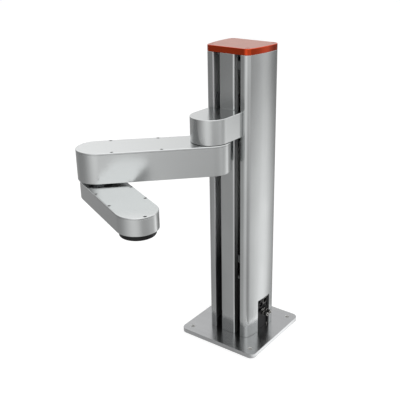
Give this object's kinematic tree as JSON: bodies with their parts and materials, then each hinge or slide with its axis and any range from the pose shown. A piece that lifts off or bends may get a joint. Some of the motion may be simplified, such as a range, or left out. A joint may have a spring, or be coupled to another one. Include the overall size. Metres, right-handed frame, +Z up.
{
  "type": "scara robot",
  "caption": "SCARA robot on a slotted aluminium column: a carriage lifts two folding box arms with a turning black tool flange, on a square base plate with an amber cap.",
  "frame": {"origin": "middle of the base plate's underside", "axes": "+Z up the column, -Y out of the slotted front, +X towards the connector side"},
  "size_m": [0.2947, 0.4794, 0.662],
  "materials": {
    "satin_aluminium": "satin",
    "plain_aluminium": "machined",
    "steel": "ground",
    "motor_black": "satin black",
    "brake_metal": "dark",
    "black_anodised": "matt black",
    "amber_plastic": "translucent amber",
    "black_plastic": "moulded",
    "circuit_board": "solder mask",
    "belt_rubber": "toothed belt"
  },
  "bodies": {
    "column": {"base_plate": "satin_aluminium", "column_casing": "satin_aluminium", "front_strip": "satin_aluminium", "rail_carrier": "plain_aluminium", "guide_rail_left": "steel", "guide_rail_right": "steel", "z_motor": "motor_black", "holding_brake": "brake_metal", "motor_mount": "plain_aluminium", "lower_bearing_block": "plain_aluminium", "upper_bearing_block": "plain_aluminium", "screw_bearing_1": "steel", "screw_bearing_2": "steel", "top_plate": "plain_aluminium", "indicator_cap": "amber_plastic", "cap_screw_1": "steel", "cap_screw_2": "steel", "cap_screw_3": "steel", "cap_screw_4": "steel", "lamp_board": "circuit_board", "connector_panel": "black_anodised", "power_inlet": "steel", "network_socket": "steel", "signal_socket": "steel", "air_fitting_1": "black_plastic", "air_fitting_2": "black_plastic", "controller_board": "circuit_board", "driver_board": "circuit_board"},
    "ball_screw": {"ball_screw": "steel", "z_motor_shaft": "steel", "shaft_coupling": "plain_aluminium"},
    "carriage": {"carriage_housing": "satin_aluminium", "lift_bracket": "satin_aluminium", "guide_block_1": "steel", "guide_block_2": "steel", "guide_block_3": "steel", "guide_block_4": "steel", "nut_housing": "plain_aluminium", "ball_nut": "steel", "shoulder_reducer": "steel", "shoulder_motor": "motor_black"},
    "upper_arm": {"upper_arm_housing": "satin_aluminium", "upper_arm_cover": "satin_aluminium", "shoulder_output": "steel", "elbow_reducer": "steel", "elbow_motor": "motor_black"},
    "forearm": {"forearm_housing": "satin_aluminium", "forearm_cover": "satin_aluminium", "elbow_output": "steel", "wrist_bearing": "steel", "wrist_motor": "motor_black", "timing_belt": "belt_rubber"},
    "wrist_pulley": {"motor_pulley": "plain_aluminium"},
    "tool": {"output_pulley": "plain_aluminium", "output_shaft": "steel", "tool_flange": "black_anodised"}
  },
  "joints": [
    {"name": "z_slide", "type": "slide", "parent": "column", "child": "carriage", "axis": [0, 0, 1], "range_m": [-0.26, 0.04]},
    {"name": "screw_turn", "type": "hinge", "parent": "column", "child": "ball_screw", "pos_m": [0, 0.014, 0], "axis": [0, 0, 1], "range_deg": [-1450, 9370]},
    {"name": "shoulder", "type": "hinge", "parent": "carriage", "child": "upper_arm", "pos_m": [0, -0.109, 0.4234], "axis": [0, 0, 1], "range_deg": [-46, 134]},
    {"name": "elbow", "type": "hinge", "parent": "upper_arm", "child": "forearm", "pos_m": [-0.15282, -0.26726, 0.3848], "axis": [0, 0, 1], "range_deg": [-240, 20]},
    {"name": "tool_turn", "type": "hinge", "parent": "forearm", "child": "tool", "pos_m": [0.01161, -0.34047, 0.3848], "axis": [0, 0, 1], "range_deg": [-1080, 1080]},
    {"name": "wrist_motor_turn", "type": "hinge", "parent": "forearm", "child": "wrist_pulley", "pos_m": [-0.07061, -0.30386, 0.3848], "axis": [0, 0, 1], "range_deg": [-3250, 3250]}
  ],
  "couplings": [
    {"joint": "screw_turn", "follows": "z_slide", "rad_per_m": -628.32},
    {"joint": "wrist_motor_turn", "follows": "tool_turn", "ratio": 3}
  ]
}
